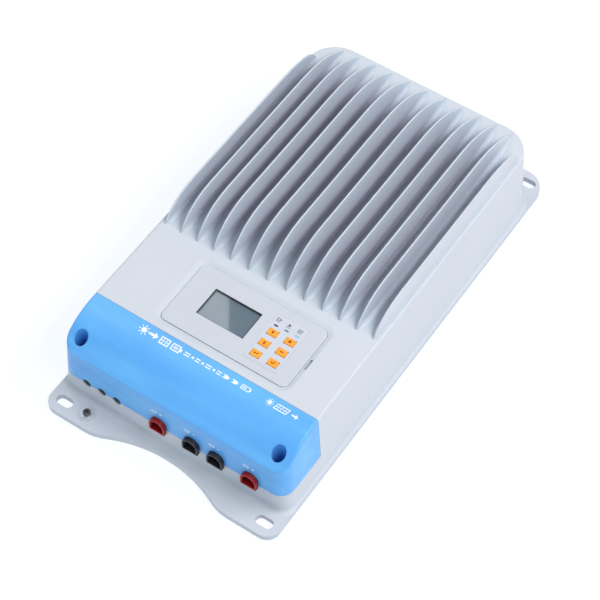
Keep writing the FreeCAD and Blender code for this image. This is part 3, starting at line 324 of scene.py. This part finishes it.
def make_window():
    """Clear acrylic: straight through, with a surface gloss from Fresnel and faint dust."""
    mt = bpy.data.materials.new("clear_acrylic")
    mt.use_nodes = True
    t = mt.node_tree
    out = t.nodes["Material Output"]
    t.nodes.remove(t.nodes["Principled BSDF"])
    tr = t.nodes.new("ShaderNodeBsdfTransparent")
    tr.inputs["Color"].default_value = (0.93, 0.955, 0.97, 1)
    gl = t.nodes.new("ShaderNodeBsdfGlossy")
    gl.inputs["Color"].default_value = (1, 1, 1, 1)
    gl.inputs["Roughness"].default_value = 0.03
    fr = t.nodes.new("ShaderNodeFresnel")
    fr.inputs["IOR"].default_value = 1.49
    co = t.nodes.new("ShaderNodeTexCoord")
    nz = t.nodes.new("ShaderNodeTexNoise")
    nz.inputs["Scale"].default_value = 180.0
    nz.inputs["Detail"].default_value = 4.0
    t.links.new(co.outputs["Object"], nz.inputs["Vector"])
    bp = t.nodes.new("ShaderNodeBump")
    bp.inputs["Distance"].default_value = 0.000004
    bp.inputs["Strength"].default_value = 0.25
    t.links.new(nz.outputs["Fac"], bp.inputs["Height"])
    t.links.new(bp.outputs["Normal"], gl.inputs["Normal"])
    mx = t.nodes.new("ShaderNodeMixShader")
    t.links.new(fr.outputs["Fac"], mx.inputs[0])
    t.links.new(tr.outputs[0], mx.inputs[1])
    t.links.new(gl.outputs[0], mx.inputs[2])
    t.links.new(mx.outputs[0], out.inputs["Surface"])
    return mt


def make_winding():
    m = M("enamelled_wire", metal=0.85, coat=0.6, coat_rough=0.12)
    w = m.n("ShaderNodeTexWave", wave_type="BANDS", bands_direction="DIAGONAL")
    w.inputs["Scale"].default_value = 150.0
    w.inputs["Distortion"].default_value = 0.6
    m.link(m.co, w.inputs["Vector"])
    col = m.ramp(w.outputs["Fac"], [(0.0, lin((0.36, 0.14, 0.06))), (0.55, lin((0.72, 0.36, 0.17))), (1.0, lin((0.86, 0.50, 0.26)))])
    m.color(col).rough(w.outputs["Fac"], 0.25, 0.45)
    m.bump(w.outputs["Fac"], 0.0006, 0.9)
    return m.m


def make_key():
    m = M("key_orange", spec=0.42, sss=0.12)
    c = lin((1.0, 0.620, 0.155))
    fine = m.noise(2100.0, 2.0, 0.6)
    col = m.mix(m.range(m.noise(120.0, 2.0), 0.3, 0.7, 0.0, 1.0), shade(c, 0.95), lin((1.0, 0.665, 0.21)))
    col = m.mix(m.range(fine, 0.5, 0.75, 0.0, 0.3), col, lin((0.98, 0.52, 0.08)))
    # painted shade: darker orange in the gaps around the keys, from ambient occlusion
    painted_shade = m.crevice(0.002)
    col = m.mix(m.math("MULTIPLY", m.math("SUBTRACT", 1.0, painted_shade, clamp=True), 0.5), col, lin((0.85, 0.42, 0.06)))
    m.color(col).rough(m.noise(400.0, 2.0), 0.42, 0.55)
    m.bump(fine, 0.000012, 0.6)
    return m.m


def make_film():
    m = M("printed_film", spec=0.45)
    c = lin((0.775, 0.797, 0.836))
    fine = m.noise(3400.0, 2.0, 0.6)
    col = m.mix(m.range(m.noise(26.0, 2.0), 0.3, 0.7, 0.0, 1.0), shade(c, 0.985), shade(c, 1.02))
    dots = m.voronoi(2400.0, rnd=0.0)
    col = m.mix(m.math("MULTIPLY", m.math("LESS_THAN", dots, 0.25), 0.14), col, lin((0.69, 0.73, 0.80)))
    m.color(col).rough(m.noise(300.0, 2.0), 0.32, 0.42)
    m.bump(fine, 0.00001, 0.5)
    return m.m


def ink(name, c, rough=0.45):
    m = M(name, spec=0.4)
    col = m.mix(m.range(m.noise(1600.0, 3.0, 0.6), 0.35, 0.7, 0.0, 1.0), c, shade(c, 0.9))
    m.color(col).rough(m.noise(500.0, 2.0), rough - 0.05, rough + 0.07)
    m.bump(m.noise(2600.0, 2.0), 0.000006, 0.5)
    return m.m


MAT = {
    "housing_casting": make_casting(),
    "cover_blue": make_cover(),
    "panel_grey": moulded("moulded_grey", lin((0.768, 0.788, 0.826)), rough=(0.38, 0.48), vary=0.012, spec=0.45).m,
    "film_grey": make_film(),
    "key_orange": make_key(),
    "black_foam": make_rubber("foam_grey", lin((0.25, 0.26, 0.28)), lin((0.34, 0.35, 0.38)), 0.002),
    "clear_window": make_window(),
    "lcd_glass": make_lcd(),
    "light_pipe": moulded("light_pipe", lin((0.62, 0.70, 0.82)), rough=(0.12, 0.2), vary=0.05, spec=0.6, coat=0.5).m,
    "led_body": moulded("diode_body", lin((0.90, 0.89, 0.82)), rough=(0.2, 0.3)).m,
    # the long reach and raised limits paint shade deep into the sleeve bores, near black inside
    "sleeve_red": make_rubber("sleeve_red", lin((0.56, 0.02, 0.05)), lin((0.80, 0.08, 0.10)), 0.011, 0.34, 0.86),
    "sleeve_black": make_rubber("sleeve_black", lin((0.075, 0.075, 0.095)), lin((0.25, 0.24, 0.27)), 0.011, 0.34, 0.86),
    "seal_rubber": make_rubber("seal_rubber", lin((0.10, 0.10, 0.10)), lin((0.2, 0.2, 0.2))),
    "membrane_rubber": make_rubber("membrane_rubber", lin((0.10, 0.10, 0.13)), lin((0.18, 0.17, 0.22)), 0.004),
    "steel_zinc": metal("zinc_plate", lin((0.84, 0.85, 0.87)), rough=(0.38, 0.55), tint=lin((0.74, 0.74, 0.72))).m,
    "screw_dark": metal("dark_zinc", lin((0.42, 0.42, 0.44)), rough=(0.3, 0.5), tint=lin((0.30, 0.30, 0.31))).m,
    "steel_plate": make_galvanised(),
    "brass": metal("nickel_brass", lin((0.83, 0.72, 0.46)), tint=lin((0.72, 0.60, 0.34))).m,
    "board_green": make_board(),
    "terminal_green": moulded("glass_nylon_black", lin((0.16, 0.16, 0.18)), rough=(0.42, 0.58), vary=0.12).m,
    "connector_dark": moulded("connector_black", lin((0.12, 0.12, 0.135)), rough=(0.4, 0.55), vary=0.1).m,
    "sensor_green": moulded("terminal_green", lin((0.16, 0.52, 0.30)), rough=(0.38, 0.5), vary=0.06).m,
    "partition": moulded("insulating_sheet", lin((0.22, 0.22, 0.24)), rough=(0.4, 0.55), vary=0.08).m,
    "ferrite": moulded("powder_core", lin((0.80, 0.67, 0.20)), rough=(0.45, 0.6), vary=0.08).m,
    "copper_winding": make_winding(),
    "capacitor_sleeve": moulded("shrink_sleeve", lin((0.10, 0.10, 0.14)), rough=(0.22, 0.34), vary=0.1).m,
    "chip_black": moulded("moulded_package", lin((0.10, 0.10, 0.10)), rough=(0.5, 0.65), vary=0.1).m,
    "pad_pink": make_rubber("thermal_pad", lin((0.76, 0.55, 0.55)), lin((0.80, 0.62, 0.60))),
    "shunt": metal("manganin", lin((0.72, 0.50, 0.34))).m,
    "fuse": moulded("fuse_body", lin((0.86, 0.66, 0.16)), rough=(0.2, 0.3), spec=0.6).m,
    "relay": moulded("relay_case", lin((0.10, 0.22, 0.46)), rough=(0.3, 0.42), vary=0.06).m,
    "ribbon": moulded("ribbon_grey", lin((0.66, 0.67, 0.69)), rough=(0.42, 0.55), vary=0.04).m,
    "dome": make_rubber("silicone_dome", lin((0.84, 0.84, 0.82)), lin((0.90, 0.90, 0.88))),
}
for sp in frame["record"]["subparts"]:
    o = N[sp["node"]]
    o.data.materials.clear()
    o.data.materials.append(MAT[sp["material_slot"]])

INK_WHITE = ink("ink_white", lin((0.93, 0.96, 0.985)))
INK_BROWN = ink("ink_brown", lin((0.50, 0.17, 0.05)))
INK_DARK = ink("ink_dark", lin((0.20, 0.21, 0.26)))
INK_NAVY = ink("ink_navy", lin((0.16, 0.15, 0.42)))
INK_SLATE = ink("ink_slate", lin((0.42, 0.50, 0.55)))
INK_SKY = ink("ink_sky", lin((0.58, 0.77, 0.90)))
INK_LINE = ink("ink_line", lin((0.68, 0.70, 0.75)))


# ------------------------------------------------------------------ printed and moulded marks
def tree(node):
    o = N[node]
    return BVHTree.FromPolygons([v.co.copy() for v in o.data.vertices], [tuple(p.vertices) for p in o.data.polygons])


def dense(loop, step):
    out = []
    for k in range(len(loop)):
        a, b = Vector(loop[k]), Vector(loop[(k + 1) % len(loop)])
        n = max(1, int(math.ceil((b - a).length / step)))
        out += [a.lerp(b, j / n) for j in range(n)]
    return out


def disc(cx, cy, r, n=28):
    return [(cx + r * math.cos(2 * math.pi * k / n), cy + r * math.sin(2 * math.pi * k / n)) for k in range(n)]


def arc_band(cx, cy, r0, r1, a0, a1, n=20):
    a = [math.radians(a0 + (a1 - a0) * k / n) for k in range(n + 1)]
    return [(cx + r1 * math.cos(t), cy + r1 * math.sin(t)) for t in a] + [(cx + r0 * math.cos(t), cy + r0 * math.sin(t)) for t in reversed(a)]


def ring(cx, cy, r0, r1):
    return [arc_band(cx, cy, r0, r1, 0, 180), arc_band(cx, cy, r0, r1, 180, 360)]


def bar(cx, cy, w, h, rot=0.0):
    c, s = math.cos(rot), math.sin(rot)
    return [(cx + c * x - s * y, cy + s * x + c * y) for x, y in ((-w / 2, -h / 2), (w / 2, -h / 2), (w / 2, h / 2), (-w / 2, h / 2))]


def frame_box(cx, cy, w, h, t):
    return [bar(cx, cy + h / 2 - t / 2, w, t), bar(cx, cy - h / 2 + t / 2, w, t), bar(cx - w / 2 + t / 2, cy, t, h - 2 * t), bar(cx + w / 2 - t / 2, cy, t, h - 2 * t)]


def tri(cx, cy, w, h, rot=0.0):
    c, s = math.cos(rot), math.sin(rot)
    return [(cx + c * x - s * y, cy + s * x + c * y) for x, y in ((-w / 2, -h / 2), (w / 2, -h / 2), (0, h / 2))]


def sun(cx, cy, r):
    return [disc(cx, cy, r * 0.5)] + [bar(cx + r * 0.82 * math.cos(a), cy + r * 0.82 * math.sin(a), r * 0.36, r * 0.17, a) for a in [k * math.pi / 4 for k in range(8)]]


def battery(cx, cy, w, h, t, fill=3):
    out = frame_box(cx, cy, w, h, t) + [bar(cx + w / 2 + t * 0.75, cy, t * 1.5, h * 0.42)]
    inner = w - 4 * t
    for k in range(fill):
        out.append(bar(cx - inner / 2 + inner * (k + 0.5) / 3, cy, inner / 3 * 0.62, h - 4 * t))
    return out


def arrow(cx, cy, w, h, rot=0.0):
    c, s = math.cos(rot), math.sin(rot)
    pts = [(-w / 2, -h * 0.16), (w * 0.08, -h * 0.16), (w * 0.08, -h / 2), (w / 2, 0), (w * 0.08, h / 2), (w * 0.08, h * 0.16), (-w / 2, h * 0.16)]
    return [(cx + c * x - s * y, cy + s * x + c * y) for x, y in pts]


def plus(cx, cy, s, t):
    h, q = s / 2, t / 2
    return [(cx - h, cy - q), (cx - q, cy - q), (cx - q, cy - h), (cx + q, cy - h), (cx + q, cy - q), (cx + h, cy - q), (cx + h, cy + q),
            (cx + q, cy + q), (cx + q, cy + h), (cx - q, cy + h), (cx - q, cy + q), (cx - h, cy + q)]


def panel_icon(cx, cy, w, h, t, slant=0.0, cols=4, rows=3):
    def sh(p):
        return [(x + (y - cy) * slant, y) for x, y in p]
    out = [sh(b) for b in frame_box(cx, cy, w, h, t)]
    for k in range(1, cols):
        out.append(sh(bar(cx - w / 2 + w * k / cols, cy, t * 0.6, h - 2 * t)))
    for k in range(1, rows):
        for j in range(cols):
            out.append(sh(bar(cx - w / 2 + w * (j + 0.5) / cols, cy - h / 2 + h * k / rows, w / cols - t * 1.1, t * 0.6)))
    return out


def mark(name, loops, to3, cast, bvh, material, body, lift=0.00002, thick=0.00005, step=0.0009):
    """Thin closed solids of ink laid on the surface below them. loops are in mm in the mark's own plane;
    to3 turns (u, v) in metres into a start point, and cast is the direction towards the surface."""
    bm = bmesh.new()
    d = Vector(cast).normalized()
    for loop in loops:
        pts = dense([(u / 1000, v / 1000) for u, v in loop], step)
        lo_u, hi_u = min(p.x for p in pts), max(p.x for p in pts)
        lo_v, hi_v = min(p.y for p in pts), max(p.y for p in pts)
        extra = []
        nu, nv = int((hi_u - lo_u) / step), int((hi_v - lo_v) / step)
        if nu > 1 and nv > 1:
            for i in range(1, nu):
                for j in range(1, nv):
                    extra.append(Vector((lo_u + (hi_u - lo_u) * i / nu, lo_v + (hi_v - lo_v) * j / nv)))
        nb = len(pts)
        vs, es, fs, *_ = delaunay_2d_cdt([p.copy() for p in pts] + extra, [(k, (k + 1) % nb) for k in range(nb)], [list(range(nb))], 1, 1e-7)
        if not fs:
            continue
        used = sorted({k for f in fs for k in f})
        top, bot = {}, {}
        ok = True
        for k in used:
            s = to3(vs[k].x, vs[k].y)
            hit, nor, _, _ = bvh.ray_cast(s, d, 0.2)
            if hit is None:
                ok = False
                break
            top[k] = bm.verts.new(hit - d * (lift + thick))
            bot[k] = bm.verts.new(hit - d * lift * 0.3)
        if not ok:
            raise RuntimeError("mark %s misses its surface" % name)
        count = {}
        for f in fs:
            bm.faces.new([top[k] for k in f])
            bm.faces.new([bot[k] for k in reversed(f)])
            for a, b in zip(f, list(f[1:]) + [f[0]]):
                count[(a, b)] = count.get((a, b), 0) + 1
        for (a, b) in list(count):
            if (b, a) not in count:
                bm.faces.new([top[b], top[a], bot[a], bot[b]])
    bmesh.ops.recalc_face_normals(bm, faces=bm.faces)
    me = bpy.data.meshes.new(name)
    bm.to_mesh(me)
    bm.free()
    o = bpy.data.objects.new(name, me)
    scene.collection.objects.link(o)
    me.materials.append(material)
    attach(o, body)
    return o


Y0 = -220.0
cover_tree = tree("terminal_cover")
film_tree = tree("keypad_overlay")

down = (0, 0, -1)


def from_top(u, v):
    return Vector((u, v, 0.130))


def shift(loops, dx, dy, k=1.0):
    return [[(dx + x * k, dy + y * k) for x, y in lp] for lp in loops]


# row along the rear edge of the cover: bold group, fine group, end group
yc = Y0 + 68.2
bold = sun(-54.2, yc, 4.9)
bold += [arrow(-44.6, yc, 8.6, 6.6)]
bold += panel_icon(-33.6, yc, 9.0, 7.0, 1.0, 0.0, 3, 2)
bold += battery(-22.6, yc, 8.4, 6.6, 1.05, 3)
mark("cover_symbols_bold", bold, from_top, down, cover_tree, INK_WHITE, "cover")

fine = []
x = -14.2
for k, w in enumerate((5.4, 2.6, 4.2, 2.6, 5.4, 2.6, 4.2)):
    if k % 2 == 0:
        fine += [bar(x + w / 2, yc + 1.15, w, 0.95), bar(x + w / 2, yc - 1.15, w, 0.95)]
    else:
        fine += [disc(x + w / 2, yc, 1.15, 20)]
    x += w + 1.5
fine += [[(x, yc - 1.7), (x + 4.4, yc - 1.7), (x + 6.8, yc), (x + 4.4, yc + 1.7), (x, yc + 1.7), (x + 2.3, yc)]]
x += 8.6
fine += [[(x, yc - 1.7), (x + 4.4, yc - 1.7), (x + 6.8, yc), (x + 4.4, yc + 1.7), (x, yc + 1.7), (x + 2.3, yc)]]
x += 8.6
fine += battery(x + 5.0, yc, 8.2, 4.2, 0.7, 2)
mark("cover_symbols_fine", fine, from_top, down, cover_tree, INK_WHITE, "cover")

end = sun(68.6, yc + 0.2, 3.5)
end += panel_icon(80.0, yc, 12.0, 5.6, 0.8, 0.35, 4, 2)
end += [arrow(92.4, yc, 6.0, 4.6)]
mark("cover_symbols_end", end, from_top, down, cover_tree, INK_WHITE, "cover")


# polarity marks above each cable sleeve, on the front wall
def from_front(u, v):
    return Vector((u, -0.235, v))


zc = 47.4
for nm, sx, kind, sign in (("pv_positive", -13.5, 0, 1), ("pv_negative", 19.5, 0, 0), ("battery_negative", 43.6, 1, 0), ("battery_positive", 76.8, 1, 1)):
    lp = panel_icon(sx - 3.1, zc, 5.6, 3.0, 0.45, 0.3, 3, 2) if kind == 0 else battery(sx - 3.2, zc, 5.0, 2.9, 0.5, 2)
    lp += [plus(sx + 3.6, zc, 2.8, 0.75)] if sign else [bar(sx + 3.6, zc, 2.8, 0.75)]
    mark("sleeve_mark_" + nm, lp, from_front, (0, 1, 0), cover_tree, INK_WHITE, "cover", step=0.0008)

# keys
GLYPH = {
    "key_left_rear": [tri(0, 0.95, 2.5, 1.7), bar(0, -0.75, 0.85, 2.0)],
    "key_left_middle": [tri(0, -0.95, 2.5, 1.7, math.pi), bar(0, 0.75, 0.85, 2.0)],
    "key_left_front": [tri(-1.55, 0.0, 2.0, 1.6, math.pi / 2), bar(0.2, 0.0, 2.4, 0.6), bar(1.6, 0.65, 0.6, 1.9)],
    "key_right_rear": [plus(0, 0, 3.0, 0.95)],
    "key_right_middle": [bar(0, 0, 3.0, 0.95)],
    "key_right_front": [bar(-1.0, -0.35, 1.9, 0.75, -math.pi / 4), bar(0.65, 0.15, 3.2, 0.75, math.pi / 4 + 0.1)],
}
for nm, loops in GLYPH.items():
    lo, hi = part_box(nm)
    cx, cy = (lo.x + hi.x) * 500, (lo.y + hi.y) * 500
    mark(nm + "_symbol", shift(loops, cx, cy), from_top, down, tree(nm), INK_BROWN, nm + "_body", lift=0.000015, thick=0.00004, step=0.0006)

# film: border line, indicator pictograms and lens tints
brd = frame_box(41.8, Y0 + 118.0, 31.6, 48.2, 0.28)
mark("film_border_line", brd, from_top, down, film_tree, INK_LINE, "housing", lift=0.00001, thick=0.00002, step=0.0016)
icons = battery(30.2, Y0 + 137.4, 3.6, 2.3, 0.42, 1) + [bar(30.2, Y0 + 135.2, 4.0, 0.45)]
icons += sun(40.7, Y0 + 137.0, 1.95) + [bar(40.7, Y0 + 134.6, 4.0, 0.4)]
icons += panel_icon(51.0, Y0 + 137.2, 4.2, 2.6, 0.4, 0.25, 2, 2) + [bar(51.0, Y0 + 135.0, 4.0, 0.42)]
mark("indicator_pictograms", icons, from_top, down, film_tree, INK_DARK, "housing", lift=0.00001, thick=0.00002, step=0.0006)
pipe_tree = tree("led_light_pipes")
for k, (lx, ly, mt) in enumerate(((31.4, 131.0, INK_NAVY), (41.4, 131.4, INK_SLATE), (51.4, 131.4, INK_SKY))):
    mark("indicator_lens_tint_%d" % (k + 1), [bar(lx, ly + Y0, 3.5, 1.35)], from_top, down, pipe_tree, mt, "housing", lift=0.00001, thick=0.00003, step=0.0006)

# ------------------------------------------------------------------ stage, light, camera
fm = M("floor_white", rough=0.9, spec=0.05)
fm.color(fm.mix(fm.range(fm.noise(3.0, 2.0), 0.3, 0.7, 0.0, 1.0), (0.155, 0.155, 0.155, 1), (0.165, 0.165, 0.165, 1)))
fm.b.inputs["Emission Color"].default_value = (0.93, 0.965, 1.0, 1)
fm.b.inputs["Emission Strength"].default_value = 0.90
me = bpy.data.meshes.new("floor")
me.from_pydata([(-6, -6, -0.0004), (6, -6, -0.0004), (6, 6, -0.0004), (-6, 6, -0.0004)], [], [(0, 1, 2, 3)])
floor = bpy.data.objects.new("floor", me)
scene.collection.objects.link(floor)
me.materials.append(fm.m)

w = bpy.data.worlds.new("studio")
scene.world = w
w.use_nodes = True
bg = w.node_tree.nodes["Background"]
wt = w.node_tree
wc = wt.nodes.new("ShaderNodeTexCoord")
ws = wt.nodes.new("ShaderNodeSeparateXYZ")
wt.links.new(wc.outputs["Generated"], ws.inputs[0])
wr = wt.nodes.new("ShaderNodeValToRGB")
wr.color_ramp.elements[0].position = 0.0
wr.color_ramp.elements[0].color = (0.66, 0.79, 1.0, 1)
wr.color_ramp.elements[1].position = 0.75
wr.color_ramp.elements[1].color = (1.0, 0.99, 0.97, 1)
wt.links.new(ws.outputs[2], wr.inputs[0])
wt.links.new(wr.outputs[0], bg.inputs["Color"])
bg.inputs["Strength"].default_value = 0.30


def area(name, centre, normal, along, sx, sy, radiance, color=(1, 1, 1)):
    ld = bpy.data.lights.new(name, "AREA")
    ld.shape = "RECTANGLE"
    ld.size, ld.size_y = sx, sy
    ld.energy = radiance * math.pi * sx * sy
    ld.color = color
    o = bpy.data.objects.new(name, ld)
    scene.collection.objects.link(o)
    z = -Vector(normal).normalized()
    y = Vector(along)
    y = (y - z * y.dot(z)).normalized()
    x = y.cross(z)
    o.matrix_world = Matrix(((x.x, y.x, z.x, centre[0]), (x.y, y.y, z.y, centre[1]), (x.z, y.z, z.z, centre[2]), (0, 0, 0, 1)))
    return o


area("key_right", (1.25, 0.17, 1.84), (-0.71, -0.10, -1.0), (0, 1, 0), 0.55, 2.2, 12.6, (1.0, 0.99, 0.975))
area("fill_front", (-0.35, -1.35, 0.75), (0.3, 1.3, -0.68), (0, 0, 1), 0.9, 1.1, 0.9, (0.74, 0.87, 1.0))
area("card_left", (-0.815, 0.285, 1.2), (0, 0, -1), (-0.56, 0.83, 0), 0.8, 1.4, 1.7, (0.97, 0.985, 1.0))

cd = bpy.data.cameras.new("photo_camera")
cam = bpy.data.objects.new("photo_camera", cd)
scene.collection.objects.link(cam)
cd.sensor_width = 36.0
cd.sensor_fit = "HORIZONTAL"
cd.lens = 113.649
cd.clip_start = 0.05
cd.clip_end = 20.0
R = ((0.82813438, -0.45850619, 0.32243685), (0.56052724, 0.6790764, -0.47398783), (-0.0016329, 0.57326025, 0.81937172))
C = (0.5302779, -0.7879484, 1.3446798)
cam.matrix_world = Matrix([list(R[k]) + [C[k]] for k in range(3)] + [[0, 0, 0, 1]])
scene.camera = cam
